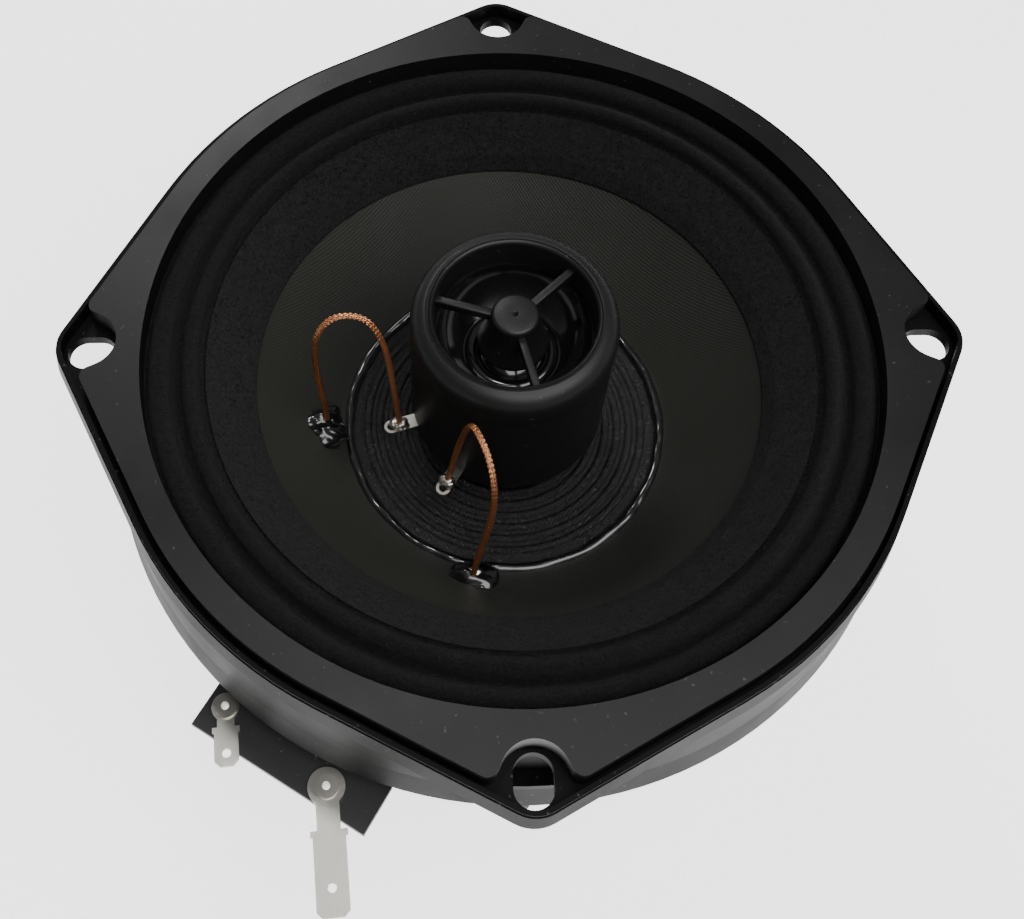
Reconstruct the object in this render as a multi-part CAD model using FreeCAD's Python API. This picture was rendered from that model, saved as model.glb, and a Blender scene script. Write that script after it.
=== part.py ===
"""Coaxial car speaker: moulded basket with four mounting ears, moving cone and a central tweeter.

Frame: millimetres, origin at the centre of the four mounting slots on the back face of the
flange, +Z out of the front of the speaker, +X and +Y through two of the ears.
"""
import FreeCAD, Part
import math
import os

vector = FreeCAD.Vector
origin = vector(0, 0, 0)
up = vector(0, 0, 1)
ear_angles = (0, 90, 180, 270)

# Flange and ears
round_radius = 81.7          # lip between the ears
ear_reach = 91.3             # lip at the tip of an ear
ear_nose_radius = 6.8
flange_height = 6.0          # back face to the top of the lip
flange_floor = 2.4
lip_wall = 0.9
skirt_spread = 0.8           # how far the side leans out at its foot
skirt_step = 0.9             # the side starts this far below the lip
skirt_ledge = 0.25
slot_width = 7.2
slot_length = 9.6
slot_centre_radius = 84.8

# Basket behind the flange
basket_wall = 2.3
drum_radius = 83.2
drum_depth = 23.0
ear_recess_radius = 79.3     # hollow in the drum behind each ear, for the fastener
ear_recess_half_width = 9.0
ear_recess_depth = 12.0
leg_knee_radius = 76.0
leg_knee_depth = 52.0
basket_foot_radius = 50.0
motor_depth = 64.5           # flange back face to the top plate
basket_floor = 2.4
basket_floor_hole = 28.0
spider_ledge_depth = 54.5
spider_ledge_radius = 51.2
spider_ledge_width = 4.4
basket_bore = 75.4           # opening of the flange behind the cloth edge
leg_rib_width = 2.4
window_half_angle = 28.0
window_top_depth = 25.0
window_bottom_depth = 50.0

# Gasket
gasket_rise = 2.0            # above the lip
gasket_gap = 1.1             # between the gasket and the lip
gasket_bore = 74.2
gasket_lobe_radius = 2.0
ear_pocket_radius = 6.2
ear_pocket_centre = 85.3
ear_pocket_flare = 25.0

# Surround, a cloth edge with two rolls
cloth_thickness = 0.6
surround_rim_radius = 79.2
surround_inner_radius = 59.0
roll_edges = (73.5, 68.9, 66.7, 63.4)
roll_turns = (4.4, 1.5, 3.9)  # height at the middle of each roll or groove

# Cone
cone_edge_radius = 62.0
cone_edge_height = 1.9       # top of the outer edge
cone_seam_radius = 52.6      # inner edge of the felt band
cone_lap_radius = 54.7       # outer edge of the inner cone, under the felt band
cone_lap_depth = 5.3
cone_wall = 0.7
felt_thickness = 0.9
glue_line = 0.3              # how far the felt's blank reaches into the inner cone before it is trimmed
seal_seat_radius = 34.3
seal_seat_depth = 30.5
neck_depth = 50.0
neck_collar = 2.5
neck_clearance = 0.6

# Voice coil, spider and seal round the post
pole_radius = 12.6
coil_clearance = 0.35
former_wall = 0.2
former_length = 24.0
winding_build = 0.75
winding_length = 10.0
spider_thickness = 0.5
spider_flat_width = 3.5
spider_roll_pitch = 4.2
spider_roll_height = 1.1
seal_thickness = 0.5
seal_hole_radius = 8.4
seal_ridge_radii = (17.2, 19.8, 22.4, 25.0, 27.6, 30.2)
seal_ridge_height = 0.8
seal_ridge_half_width = 0.9
seal_bead_radius = 1.25

# Motor
top_plate_radius = 50.0
top_plate_thickness = 5.0
magnet_radius = 62.0
magnet_thickness = 16.0
magnet_bore = 24.0
back_plate_radius = 50.0
back_plate_thickness = 5.0
frame_rivet_circle = 35.0
frame_rivet_radius = 2.2

# Post and the screw that holds the tweeter
post_radius = 7.0
screw_radius = 2.45
screw_hole_clearance = 0.15
screw_head_radius = 4.6
screw_head_height = 3.5
nut_across_flats = 8.0
nut_thickness = 4.0

# Tweeter housing and face
housing_radius = 20.5
housing_wall = 1.8
housing_bottom = -20.5
housing_floor = 2.4
housing_top = 9.5
face_radius = 20.8
face_crest_height = 17.1
face_shoulder_height = 12.7
mouth_radius = 16.3
spoke_width = 1.7
spoke_depth = 2.2
spoke_top = 14.7
spoke_angles = (43, 163, 283)
plug_top_radius = 4.1
plug_base_radius = 7.2
plug_top = 16.3
plug_base = 6.1

# Tweeter diaphragm and motor
diaphragm_height = 1.7
tweeter_former_radius = 6.65
tweeter_former_wall = 0.1
tweeter_winding_build = 0.35
tweeter_clearance = 0.35
dome_height = 2.2
dome_wall = 0.25
tweeter_roll_outer = 9.6
tweeter_clamp_radius = 12.2
throat_radius = 9.9
cup_wall = 1.9
cup_bottom = -5.3
cup_floor = 1.4
tweeter_pole_thickness = 1.3
capacitor_radius = 3.3
capacitor_length = 13.0
capacitor_centre_radius = 12.8

# Lugs on the housing and the leads that feed the tweeter
lug_angles = (-163, -123)
lug_names = ("left", "front")
lug_top = -17.0
lug_thickness = 0.5
lug_width = 3.0
lug_reach = 27.4
lug_inner_radius = 16.6
lug_hole_radius = 0.9
lug_solder_radius = 1.7
lead_radius = 0.8
cone_joint_angles = (-175, -102)
cone_joint_radius = 39.0
glue_dab_radius = 4.1
lead_gap = 0.3
lead_routes = {
    "left": [(-23.1, -7.1, -16.4), (-23.4, -7.3, -9.5), (-24.2, -5.8, -2.4), (-25.0, -3.7, 4.5),
             (-26.3, -2.1, 11.0), (-29.4, -0.7, 16.9), (-35.6, -0.5, 17.1), (-39.2, -1.7, 11.9),
             (-39.9, -2.6, 4.8), (-39.6, -3.4, -2.6), (-39.0, -3.9, -10.1), (-38.7, -3.6, -16.0),
             (-38.7, -3.4, -21.8)],
    "front": [(-13.2, -20.3, -16.4), (-12.3, -20.0, -9.5), (-11.5, -20.0, -2.5), (-10.5, -20.4, 4.4),
              (-9.6, -21.6, 11.2), (-8.5, -24.5, 16.0), (-6.3, -30.6, 16.6), (-5.1, -34.6, 11.2),
              (-5.2, -36.4, 4.5), (-6.3, -37.9, -2.6), (-7.4, -39.0, -9.8), (-8.0, -39.0, -15.9),
              (-8.2, -38.5, -21.7)],
}

# Terminal board and blades
board_angle = -122.0
board_reach = 89.1
board_half_length = 20.1
board_thickness = 1.6
board_top = -31.0
board_clearance = 0.2
shelf_thickness = 2.4
shelf_inset = 1.0            # how much shorter than the board the shelf is at each end
shelf_setback = 0.6          # how much less than the board the shelf reaches outwards
blade_thickness = 0.8
blade_direction = -85.0
terminal_rivet_radius = 1.5
terminals = {
    "large": dict(root=(-37.4, -77.4), length=23.3, width=6.3),
    "small": dict(root=(-57.7, -61.9), length=11.5, width=4.75),
}

# Sizes that follow from the ones above
ear_nose_centre = ear_reach - ear_nose_radius
drum_top_radius = round_radius + skirt_spread - 0.2
gasket_inset = lip_wall + gasket_gap
gasket_top = flange_height + gasket_rise
felt_slope = (cone_edge_height - felt_thickness + cone_lap_depth + glue_line) / (
    cone_edge_radius - cone_lap_radius)
ledge_inner = spider_ledge_radius - spider_ledge_width
neck_radius = pole_radius + coil_clearance + former_wall + neck_clearance
former_inner = pole_radius + coil_clearance
former_outer = former_inner + former_wall
winding_outer = former_outer + winding_build
gap_radius = winding_outer + coil_clearance
plate_top = -motor_depth
plate_bottom = plate_top - top_plate_thickness
magnet_bottom = plate_bottom - magnet_thickness
back_face = magnet_bottom - back_plate_thickness
gap_middle = plate_top - top_plate_thickness / 2
tweeter_winding_outer = tweeter_former_radius + tweeter_winding_build
cup_inner = tweeter_winding_outer + tweeter_clearance
cup_outer = cup_inner + cup_wall
tweeter_pole_radius = tweeter_former_radius - tweeter_former_wall - tweeter_clearance
cup_top = diaphragm_height - 0.6
cup_gap_bottom = cup_bottom + cup_floor


# ---- shape helpers -------------------------------------------------------------------------

def polar(radius, angle, height=0.0):
    """Point at a radius and an angle in degrees round the axis."""
    turn = math.radians(angle)
    return vector(radius * math.cos(turn), radius * math.sin(turn), height)


def tube(outer, inner, bottom, top):
    """Upright ring between two radii and two heights."""
    shape = Part.makeCylinder(outer, top - bottom, vector(0, 0, bottom))
    if inner > 0:
        shape = shape.cut(Part.makeCylinder(inner, top - bottom + 2, vector(0, 0, bottom - 1)))
    return shape


def section_point(point):
    """A radius and a height as a point of the XZ plane."""
    return vector(point[0], 0, point[1])


def revolve(edges):
    """Solid of revolution about Z from a closed chain of edges in the XZ plane."""
    face = Part.Face(Part.Wire(Part.__sortEdges__(edges)))
    return face.revolve(origin, up, 360)


def lines(points):
    """Straight edges through section points."""
    corners = [section_point(point) for point in points]
    return [Part.makeLine(a, b) for a, b in zip(corners, corners[1:])]


def turned(points):
    """Solid of revolution of a closed polygon of section points."""
    return revolve(lines(list(points) + [points[0]]))


def arc(start, middle, end):
    """Arc edge through three section points."""
    return Part.Arc(section_point(start), section_point(middle), section_point(end)).toShape()


def sheet(upper_edges, first, last, thickness):
    """Revolved sheet: the upper line, the same line lower down, and two short closing lines."""
    lower_edges = []
    for edge in upper_edges:
        copy = edge.copy()
        copy.translate(vector(0, 0, -thickness))
        lower_edges.append(copy)
    closing = [Part.makeLine(section_point(point), section_point((point[0], point[1] - thickness)))
               for point in (first, last)]
    return revolve(upper_edges + lower_edges + closing)


def outline(inset, height):
    """Wire round the flange: four ear noses, four round stretches and the tangents between them."""
    nose = ear_nose_radius - inset
    rim = round_radius - inset
    lean = math.degrees(math.acos((rim - nose) / ear_nose_centre))
    edges = []
    for angle in ear_angles:
        centre = polar(ear_nose_centre, angle, height)
        start = centre + polar(nose, angle - lean)
        end = centre + polar(nose, angle + lean)
        rim_start = polar(rim, angle + lean, height)
        rim_end = polar(rim, angle + 90 - lean, height)
        next_nose = polar(ear_nose_centre, angle + 90, height) + polar(nose, angle + 90 - lean)
        edges.append(Part.Arc(start, centre + polar(nose, angle), end).toShape())
        edges.append(Part.makeLine(end, rim_start))
        edges.append(Part.Arc(rim_start, polar(rim, angle + 45, height), rim_end).toShape())
        edges.append(Part.makeLine(rim_end, next_nose))
    return Part.Wire(edges)


def plate(inset, bottom, top):
    """Flat piece with the flange's outline, drawn in by the inset."""
    return Part.Face(outline(inset, bottom)).extrude(vector(0, 0, top - bottom))


def turned_about_z(shape, angle):
    """Copy of a shape turned about the axis."""
    copy = shape.copy()
    copy.rotate(origin, up, angle)
    return copy


def box(length, width, height, corner):
    """Box from its lowest corner."""
    return Part.makeBox(length, width, height, vector(*corner))


def group(shapes):
    """Separate solids kept together as one node."""
    return Part.makeCompound(shapes)


# ---- flange, basket and gasket -------------------------------------------------------------

def ear_slot():
    """Cutter for one slot with round ends, on +X and long in the radial direction."""
    radius = slot_width / 2
    half_run = slot_length / 2 - radius
    height = flange_height + 4
    bottom = -2
    block = box(2 * half_run, slot_width, height, (slot_centre_radius - half_run, -radius, bottom))
    for end in (-half_run, half_run):
        block = block.fuse(Part.makeCylinder(radius, height, vector(slot_centre_radius + end, 0, bottom)))
    return block


def flange():
    """Shallow tray with a thin lip and a side that leans out towards its foot."""
    side = Part.makeLoft([outline(-skirt_spread, 0), outline(-skirt_ledge, flange_height - skirt_step)],
                         True, True)
    body = side.fuse(plate(0, 0, flange_height))
    body = body.cut(plate(lip_wall, flange_floor, flange_height + 1))
    seat_radius = surround_rim_radius + 0.3
    body = body.cut(tube(seat_radius, 0, flange_floor - cloth_thickness, flange_height))
    return body.cut(tube(basket_bore, 0, -1, flange_height))


def basket_shell():
    """Revolved wall: drum, sloping legs, spider ledge and the floor on the top plate."""
    drum_inner = drum_radius - basket_wall
    knee_inner = leg_knee_radius - basket_wall
    ledge = -spider_ledge_depth
    straight_foot = -ear_recess_depth - basket_wall
    floor_top = plate_top + basket_floor
    return turned([
        (drum_top_radius, 0.5), (drum_top_radius, straight_foot), (drum_radius, -drum_depth), (leg_knee_radius, -leg_knee_depth),
        (spider_ledge_radius + basket_wall, ledge - basket_wall), (basket_foot_radius, plate_top),
        (basket_floor_hole, plate_top), (basket_floor_hole, floor_top), (ledge_inner, floor_top),
        (ledge_inner, ledge), (spider_ledge_radius, ledge), (knee_inner, 1.4 - leg_knee_depth),
        (drum_inner, 1.0 - drum_depth),
        (drum_top_radius - basket_wall, straight_foot), (drum_top_radius - basket_wall, 0.5)])


def wall_radius(height):
    """Outer radius of the basket's wall at a height between the drum's foot and the knee."""
    share = (-height - drum_depth) / (leg_knee_depth - drum_depth)
    return drum_radius + share * (leg_knee_radius - drum_radius)


def ear_recess():
    """Block behind one ear on +X and the cutter that hollows it for a nut or a clip."""
    half = ear_recess_half_width + basket_wall
    inner = ear_recess_radius - basket_wall
    depth = ear_recess_depth + basket_wall
    block = box(drum_radius, 2 * half, depth + 0.5, (inner, -half, -depth))
    cutter = box(drum_radius, 2 * ear_recess_half_width, ear_recess_depth,
                 (ear_recess_radius, -ear_recess_half_width, -ear_recess_depth))
    return block.common(tube(drum_top_radius, 0, -depth, 0.5)), cutter


def window():
    """Cutter for one opening between two legs, wedge shaped, centred on +X."""
    reach = drum_radius + 6
    edge = polar(reach / math.cos(math.radians(window_half_angle)), window_half_angle)
    height = window_bottom_depth - window_top_depth
    corners = [origin, vector(edge.x, -edge.y, 0), vector(edge.x, edge.y, 0), origin]
    wedge = Part.Face(Part.makePolygon(corners)).extrude(vector(0, 0, height))
    wedge.translate(vector(0, 0, -window_bottom_depth))
    return wedge


def leg_rib():
    """Stiffening rib on the outside of one leg, on +X."""
    corners = [vector(drum_radius - 1, 0, -drum_depth), vector(drum_radius - 1, 0, -drum_depth - 6),
               vector(leg_knee_radius + 2.6, 0, -leg_knee_depth - 1),
               vector(basket_foot_radius + 1, 0, plate_top + 1),
               vector(spider_ledge_radius + 1.5, 0, -spider_ledge_depth - 1.5),
               vector(leg_knee_radius - 1, 0, -leg_knee_depth)]
    rib = Part.Face(Part.makePolygon(corners + [corners[0]])).extrude(vector(0, leg_rib_width, 0))
    rib.translate(vector(0, -leg_rib_width / 2, 0))
    return rib


def board_frame(shape):
    """Moves a shape drawn with +X outwards to the terminal board's place round the axis."""
    return turned_about_z(shape, board_angle)


def terminal_shelf():
    """Solid stretch of the basket's wall with a ledge standing out of it, under the board."""
    shelf_top = board_top - board_thickness
    shelf_bottom = shelf_top - shelf_thickness
    half = board_half_length - shelf_inset
    middle_of_wall = wall_radius(shelf_bottom) - basket_wall / 2
    ledge = box(board_reach - shelf_setback, 2 * half, shelf_thickness, (0, -half, shelf_bottom))
    ledge = ledge.cut(tube(middle_of_wall, 0, shelf_bottom - 1, shelf_top + 1))
    block = box(board_reach, 2 * half, 1 - drum_depth - shelf_bottom, (0, -half, shelf_bottom))
    return board_frame(ledge).fuse(board_frame(block).common(basket_shell()))


def terminal_rivet_places():
    """Rivet centre of each terminal, by name."""
    return {name: vector(*size["root"], 0) for name, size in terminals.items()}


def rivet_hole(centre, radius):
    """Upright cutter at a terminal rivet."""
    return Part.makeCylinder(radius, 20, vector(centre.x, centre.y, board_top - 12))


def make_basket():
    shape = flange().fuse(basket_shell())
    for angle in ear_angles:
        shape = shape.fuse(turned_about_z(leg_rib(), angle))
    for angle in ear_angles:
        shape = shape.cut(turned_about_z(window(), angle + 45))
    shape = shape.fuse(terminal_shelf())
    recess_block, recess_cutter = ear_recess()
    for angle in ear_angles:
        shape = shape.fuse(turned_about_z(recess_block, angle)).cut(turned_about_z(recess_cutter, angle))
    for angle in ear_angles:
        shape = shape.cut(turned_about_z(ear_slot(), angle))
        rivet = polar(frame_rivet_circle, angle + 45)
        shape = shape.cut(Part.makeCylinder(frame_rivet_radius, 12, vector(rivet.x, rivet.y, plate_top - 4)))
    for centre in terminal_rivet_places().values():
        shape = shape.cut(rivet_hole(centre, terminal_rivet_radius))
    return shape.removeSplitter()


def ear_pocket():
    """Cutter for the gasket at one ear, on +X: a round arch that flares towards the tip."""
    flare = math.radians(ear_pocket_flare)
    start = vector(ear_pocket_centre - ear_pocket_radius * math.sin(flare),
                   ear_pocket_radius * math.cos(flare), 0)
    run = ear_reach - start.x
    spread = start.y + run * math.tan(flare)
    corners = [start, vector(start.x, -start.y, 0), vector(ear_reach, -spread, 0),
               vector(ear_reach, spread, 0), start]
    mouth = Part.Face(Part.makePolygon(corners)).extrude(vector(0, 0, gasket_top))
    arch = Part.makeCylinder(ear_pocket_radius, gasket_top, vector(ear_pocket_centre, 0, 0))
    return arch.fuse(mouth)


def lobe_corners(ring):
    """Upright edges where an ear pocket meets the outer side of the gasket."""
    corners = []
    for edge in ring.Edges:
        middle = edge.CenterOfMass
        upright = edge.BoundBox.ZLength > gasket_top - flange_floor - 0.1
        narrow = max(edge.BoundBox.XLength, edge.BoundBox.YLength) < 0.01
        if upright and narrow and max(abs(middle.x), abs(middle.y)) > ear_pocket_centre:
            corners.append(edge)
    return corners


def make_gasket():
    """Trim ring on the flange floor, cut back round each ear slot with rounded lobes."""
    ring = plate(gasket_inset, flange_floor, gasket_top)
    ring = ring.cut(tube(gasket_bore, 0, 0, gasket_top + 1))
    for angle in ear_angles:
        ring = ring.cut(turned_about_z(ear_pocket(), angle))
    return ring.makeFillet(gasket_lobe_radius, lobe_corners(ring))


# ---- cone, surround, spider, coil and seal -------------------------------------------------

def cone_arc():
    """Upper line of the inner cone, from its outer edge over the seal's seat to the neck."""
    return arc((cone_lap_radius, -cone_lap_depth), (seal_seat_radius, -seal_seat_depth),
               (neck_radius, -neck_depth))


def cone_height(radius):
    """Height of the inner cone's upper face at a radius."""
    circle = cone_arc().Curve
    offset = math.sqrt(circle.Radius ** 2 - (radius - circle.Center.x) ** 2)
    side = 1 if circle.Center.z < -seal_seat_depth else -1
    return circle.Center.z + side * offset


def cone_slope(radius):
    """Rise of the inner cone's upper face per millimetre outwards."""
    return cone_height(radius + 0.5) - cone_height(radius - 0.5)


def cone_joints():
    """Where each lead meets the cone: name, place on the face and the face's normal."""
    lean = math.atan(cone_slope(cone_joint_radius))
    for name, angle in zip(lug_names, cone_joint_angles):
        place = polar(cone_joint_radius, angle, cone_height(cone_joint_radius))
        normal = polar(-math.sin(lean), angle, math.cos(lean))
        yield name, place, normal


def eyelet_hole(place, normal):
    """Cutter for one eyelet's shank through the cone."""
    return Part.makeCylinder(1.1, 8, place - normal * 4, normal)


def make_inner_cone():
    """Woven cone with the short collar that is glued to the coil former."""
    drop = cone_wall * math.hypot(1, cone_slope(seal_seat_radius))
    skin = sheet([cone_arc()], (cone_lap_radius, -cone_lap_depth), (neck_radius, -neck_depth), drop)
    shape = skin.fuse(tube(neck_radius + cone_wall, former_outer, -neck_depth - neck_collar, -neck_depth + 0.4))
    for _, place, normal in cone_joints():
        shape = shape.cut(eyelet_hole(place, normal))
    return shape


def felt_underside(radius):
    """Height of the felt band's lower face at a radius outside the inner cone."""
    return cone_edge_height - felt_thickness - felt_slope * (cone_edge_radius - radius)


def make_outer_cone(inner_cone):
    """Felt band lapped over the edge of the inner cone."""
    seam = cone_height(cone_seam_radius)
    lap = -cone_lap_depth
    band = turned([
        (cone_seam_radius, seam - glue_line), (cone_lap_radius, lap - glue_line),
        (cone_edge_radius, cone_edge_height - felt_thickness), (cone_edge_radius, cone_edge_height),
        (cone_lap_radius, lap + felt_thickness), (cone_seam_radius, seam + felt_thickness)])
    return band.cut(inner_cone)


def make_surround():
    """Cloth edge: flat rim, two rolls with a groove between, and a lap under the felt band."""
    level = flange_floor
    rim = (surround_rim_radius, level)
    join = (cone_edge_radius, felt_underside(cone_edge_radius))
    lap_end = (surround_inner_radius, felt_underside(surround_inner_radius))
    edges = lines([rim, (roll_edges[0], level)])
    for start, end, height in zip(roll_edges, roll_edges[1:], roll_turns):
        edges.append(arc((start, level), ((start + end) / 2, height), (end, level)))
    last = (roll_edges[-1], level)
    edges.append(arc(last, ((last[0] + join[0]) / 2 + 0.25, (level + join[1]) / 2 - 0.25), join))
    edges += lines([join, lap_end])
    return sheet(edges, rim, lap_end, cloth_thickness)


def make_voice_coil_former():
    top = -neck_depth + 1.0
    return tube(former_outer, former_inner, top - former_length, top)


def make_voice_coil_winding():
    half = winding_length / 2
    return tube(winding_outer, former_outer, gap_middle - half, gap_middle + half)


def make_spider():
    """Corrugated centring disc from the former to the ledge in the basket."""
    outer = spider_ledge_radius - 0.3
    level = -spider_ledge_depth + spider_thickness
    inner = former_outer
    first_roll = inner + spider_flat_width
    flat_outer = ledge_inner - 0.3
    count = 2 * int((flat_outer - first_roll) / spider_roll_pitch)
    step = (flat_outer - first_roll) / count
    edges = lines([(inner, level), (first_roll, level)])
    for i in range(count):
        start = first_roll + i * step
        lift = spider_roll_height if i % 2 == 0 else -spider_roll_height
        edges.append(arc((start, level), (start + step / 2, level + lift), (start + step, level)))
    edges += lines([(flat_outer, level), (outer, level)])
    return sheet(edges, (inner, level), (outer, level), spider_thickness)


def make_dust_seal(inner_cone):
    """Corrugated disc that closes the cone round the post, with a free hole for the post."""
    level = -seal_seat_depth
    outer = seal_seat_radius + 0.6
    half = seal_ridge_half_width
    edges = []
    place = (seal_hole_radius, level)
    for radius in seal_ridge_radii:
        edges += lines([place, (radius - half, level)])
        edges.append(arc((radius - half, level), (radius, level + seal_ridge_height), (radius + half, level)))
        place = (radius + half, level)
    edges += lines([place, (outer, level)])
    disc = sheet(edges, (seal_hole_radius, level), (outer, level), seal_thickness)
    return disc.cut(below_cone_face()).cut(inner_cone)


def below_cone_face():
    """Cutter for what lies behind the cone round the seal's seat; its top is inside the cone's wall."""
    inner = seal_seat_radius - 4
    outer = seal_seat_radius + 4
    bottom = -seal_seat_depth - 10
    sunk = cone_wall / 2
    return turned([(inner, cone_height(inner) - sunk), (outer, cone_height(outer) - sunk),
                   (outer, bottom), (inner, bottom)])


def make_seal_bead(inner_cone, seal):
    """Bead of glue where the seal meets the cone."""
    level = -seal_seat_depth
    bead = Part.makeTorus(seal_seat_radius, seal_bead_radius, vector(0, 0, level + 0.2))
    bead = bead.cut(below_cone_face()).cut(inner_cone).cut(seal)
    return bead.cut(tube(seal_seat_radius + 4, 0, level - 8, level))


def make_cone_eyelets():
    """Hollow-looking rivets that carry each lead through the cone."""
    rivets = []
    for _, place, normal in cone_joints():
        shank = Part.makeCylinder(1.1, cone_wall + 1.3, place - normal * (cone_wall + 0.3), normal)
        collar = Part.makeCylinder(1.9, 0.35, place - normal * (cone_wall + 0.4), normal)
        collar = collar.cut(Part.makeCylinder(1.1, 4, place - normal * 2, normal))
        rivets.append(shank.fuse(collar))
    return group(rivets)


def make_glue_dab(place, normal, inner_cone, eyelets):
    """Domed dab of glue on the cone over one eyelet."""
    dab = Part.makeSphere(glue_dab_radius, place - normal * 1.4)
    behind = Part.makeCylinder(12, 12, place - normal * 12.0, normal)
    return dab.cut(behind).cut(inner_cone).cut(eyelets)


# ---- motor and post ------------------------------------------------------------------------

def make_top_plate():
    shape = tube(top_plate_radius, gap_radius, plate_bottom, plate_top)
    for angle in ear_angles:
        centre = polar(frame_rivet_circle, angle + 45, plate_bottom - 1)
        shape = shape.cut(Part.makeCylinder(frame_rivet_radius, 10, centre))
    return shape


def make_magnet():
    return tube(magnet_radius, magnet_bore, magnet_bottom, plate_bottom)


def make_yoke():
    """Back plate and pole in one piece, bored for the screw and countersunk for its head."""
    pole_top = plate_top + 0.5
    shape = tube(back_plate_radius, 0, back_face, magnet_bottom)
    shape = shape.fuse(tube(pole_radius, 0, magnet_bottom - 1, pole_top))
    shape = shape.cut(tube(screw_radius + screw_hole_clearance, 0, back_face - 1, pole_top + 1))
    pocket = tube(screw_head_radius + 0.5, 0, back_face - 1, back_face + screw_head_height + 0.5)
    return shape.cut(pocket).removeSplitter()


def make_post():
    """Spacer from the pole up to the tweeter housing."""
    return tube(post_radius, screw_radius + screw_hole_clearance, plate_top + 0.5, housing_bottom)


def make_post_screw():
    head_bottom = back_face + 0.5
    head = tube(screw_head_radius, 0, head_bottom, head_bottom + screw_head_height)
    recess = Part.makeCylinder(2.2, 2.0, vector(0, 0, head_bottom))
    tip = housing_bottom + housing_floor + nut_thickness
    return head.cut(recess).fuse(tube(screw_radius, 0, head_bottom + 2.2, tip))


def make_post_nut():
    bottom = housing_bottom + housing_floor
    corner = nut_across_flats / 2 / math.cos(math.radians(30))
    corners = [polar(corner, 60 * i, bottom) for i in range(6)]
    prism = Part.Face(Part.makePolygon(corners + [corners[0]])).extrude(vector(0, 0, nut_thickness))
    return prism.cut(tube(screw_radius, 0, bottom - 1, bottom + nut_thickness + 1))


def make_frame_rivets():
    """Four rivets that hold the basket to the top plate."""
    head_bottom = plate_top + basket_floor
    rivets = []
    for angle in ear_angles:
        centre = polar(frame_rivet_circle, angle + 45)
        length = head_bottom - plate_bottom - 0.4
        shank = Part.makeCylinder(frame_rivet_radius, length, vector(centre.x, centre.y, plate_bottom + 0.4))
        head = Part.makeCylinder(3.8, 1.2, vector(centre.x, centre.y, head_bottom))
        rivets.append(shank.fuse(head))
    return group(rivets)


# ---- tweeter -------------------------------------------------------------------------------

def lug_plate(angle, radius_from, radius_to, width, bottom, top):
    """Flat strip that points outwards at an angle."""
    strip = box(radius_to - radius_from, width, top - bottom, (radius_from, -width / 2, bottom))
    return turned_about_z(strip, angle)


def make_housing():
    """Barrel of the tweeter with a floor, a shoulder for the frame and two slits for the lugs."""
    inner = housing_radius - housing_wall
    shape = tube(housing_radius, 0, housing_bottom, housing_top)
    shape = shape.makeChamfer(0.8, [e for e in shape.Edges if e.BoundBox.ZMax < housing_bottom + 0.01])
    shape = shape.cut(tube(inner - 1.0, 0, housing_bottom + housing_floor, housing_top + 1))
    shape = shape.cut(tube(inner, 0, diaphragm_height - 2.6, housing_top + 1))
    shape = shape.cut(tube(screw_radius + screw_hole_clearance, 0, housing_bottom - 1, 0))
    for angle in lug_angles:
        shape = shape.cut(lug_plate(angle, lug_inner_radius, housing_radius + 2, lug_width,
                                    lug_top - lug_thickness, lug_top))
    return shape


def plug():
    """Bullet-shaped phase plug: flat nose, curved flank and a hollow underside."""
    shoulder = (plug_top_radius + 0.7, plug_top - 0.7)
    flank = ((plug_top_radius + plug_base_radius) / 2 + 0.55, (plug_top + plug_base) / 2)
    base = (plug_base_radius, plug_base)
    edges = lines([(0, plug_base), (0, plug_top), (plug_top_radius, plug_top), shoulder])
    edges.append(arc(shoulder, flank, base))
    edges += lines([base, (0, plug_base)])
    hollow = Part.makeSphere(14, vector(0, 0, plug_base - 12.9))
    pin = Part.makeCylinder(0.5, 1.2, vector(0, 0, plug_top - 1.2))
    return revolve(edges).cut(hollow).cut(pin)


def make_face():
    """Rounded ring with three spokes that carry the phase plug, one moulding."""
    inner_top = (mouth_radius, face_crest_height - 0.5)
    crest = (mouth_radius + 1.2, face_crest_height)
    quarter = (mouth_radius + 3.7, face_crest_height - 1.7)
    shoulder = (face_radius, face_shoulder_height)
    ring_edges = lines([inner_top, crest])
    ring_edges.append(arc(crest, quarter, shoulder))
    ring_edges += lines([shoulder, (face_radius, housing_top), (mouth_radius - 0.6, housing_top), inner_top])
    ring = revolve(ring_edges)
    shape = ring.fuse(plug())
    for angle in spoke_angles:
        spoke = box(mouth_radius - 2.6, spoke_width, spoke_depth, (3.0, -spoke_width / 2, spoke_top - spoke_depth))
        shape = shape.fuse(turned_about_z(spoke, angle))
    return shape.removeSplitter()


def make_waveguide():
    """Short flare from the diaphragm up to the face ring."""
    outer = housing_radius - housing_wall - 0.1
    bottom = diaphragm_height
    mouth = (mouth_radius - 0.6, housing_top)
    throat = (throat_radius, bottom + 0.4)
    bend = ((mouth[0] + throat[0]) / 2 + 0.6, (mouth[1] + throat[1]) / 2 - 0.9)
    edges = lines([(outer, housing_top), mouth])
    edges.append(arc(mouth, bend, throat))
    edges += lines([throat, (throat_radius, bottom), (outer, bottom), (outer, housing_top)])
    return revolve(edges)


def make_tweeter_frame():
    """Ring that seats the diaphragm and the cup on the housing's shoulder."""
    outer = housing_radius - housing_wall - 0.1
    return tube(outer, cup_outer, diaphragm_height - 2.6, diaphragm_height - 0.2)


def make_tweeter_cup():
    cup = tube(cup_outer, 0, cup_bottom, cup_top)
    return cup.cut(tube(cup_inner, 0, cup_gap_bottom, cup_top + 1))


def make_tweeter_pole():
    top = cup_top - 0.2
    return tube(tweeter_pole_radius, 0, top - tweeter_pole_thickness, top)


def make_tweeter_magnet():
    top = cup_top - 0.2 - tweeter_pole_thickness
    return tube(tweeter_pole_radius - 0.4, 0, cup_gap_bottom, top)


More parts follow.
